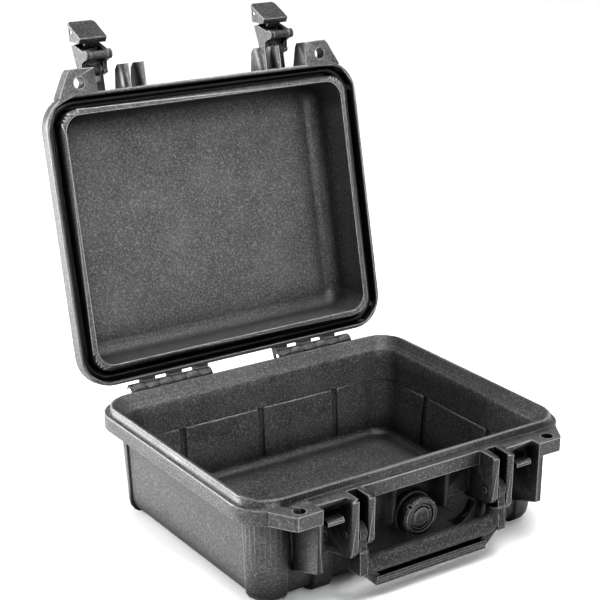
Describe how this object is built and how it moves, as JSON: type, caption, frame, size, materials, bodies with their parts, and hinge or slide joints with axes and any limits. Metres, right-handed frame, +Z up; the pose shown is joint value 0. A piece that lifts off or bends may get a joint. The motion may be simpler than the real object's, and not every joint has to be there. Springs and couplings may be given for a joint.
{
  "type": "hard equipment case",
  "caption": "Small hard plastic equipment case, open: ribbed base and hinged lid with a ring seal, front carry handle, twin two-part latches, padlock tabs and a round pressure vent.",
  "frame": {"origin": "centre of the underside, on the plane the case stands on", "axes": "+X to the right facing the front, +Y towards the back where the hinge is, +Z up"},
  "size_m": [0.27, 0.3337, 0.3339],
  "materials": {
    "case": "grey-black polypropylene, fine moulded grain",
    "fittings": "black nylon, slightly smoother than the case",
    "seal": "matte black elastomer",
    "steel": "plain stainless pin",
    "membrane": "grey breathable film"
  },
  "bodies": {
    "base": {"base_shell": "case", "vent_body": "fittings", "vent_cap": "fittings", "vent_membrane": "membrane", "vent_seal": "seal", "vent_nut": "fittings", "hinge_pin_left": "steel", "hinge_pin_right": "steel", "handle_pin_left": "fittings", "handle_pin_right": "fittings"},
    "lid": {"lid_shell": "case", "lid_gasket": "seal", "latch_pin_left": "steel", "latch_pin_right": "steel"},
    "handle": {"carry_handle": "fittings"},
    "arm_left": {"latch_arm_left": "fittings", "latch_lever_pin_left": "steel"},
    "arm_right": {"latch_arm_right": "fittings", "latch_lever_pin_right": "steel"},
    "lever_left": {"latch_lever_left": "fittings"},
    "lever_right": {"latch_lever_right": "fittings"}
  },
  "joints": [
    {"name": "lid_hinge", "type": "hinge", "parent": "base", "child": "lid", "pos_m": [0, 0.1138, 0.0775], "axis": [1, 0, 0], "range_deg": [0, 103.2]},
    {"name": "handle_swing", "type": "hinge", "parent": "base", "child": "handle", "pos_m": [0, -0.1137, 0.0506], "axis": [-1, 0, 0], "range_deg": [0, 100]},
    {"name": "latch_arm_left", "type": "hinge", "parent": "lid", "child": "arm_left", "pos_m": [-0.0796, 0.19329, 0.30034], "axis": [1, 0, 0], "range_deg": [0, 102.8]},
    {"name": "latch_arm_right", "type": "hinge", "parent": "lid", "child": "arm_right", "pos_m": [0.0796, 0.19329, 0.30034], "axis": [1, 0, 0], "range_deg": [0, 102.8]},
    {"name": "latch_lever_left", "type": "hinge", "parent": "arm_left", "child": "lever_left", "pos_m": [-0.0796, 0.20617, 0.32676], "axis": [-1, 0, 0], "range_deg": [0, 155]},
    {"name": "latch_lever_right", "type": "hinge", "parent": "arm_right", "child": "lever_right", "pos_m": [0.0796, 0.20617, 0.32676], "axis": [-1, 0, 0], "range_deg": [0, 155]}
  ]
}
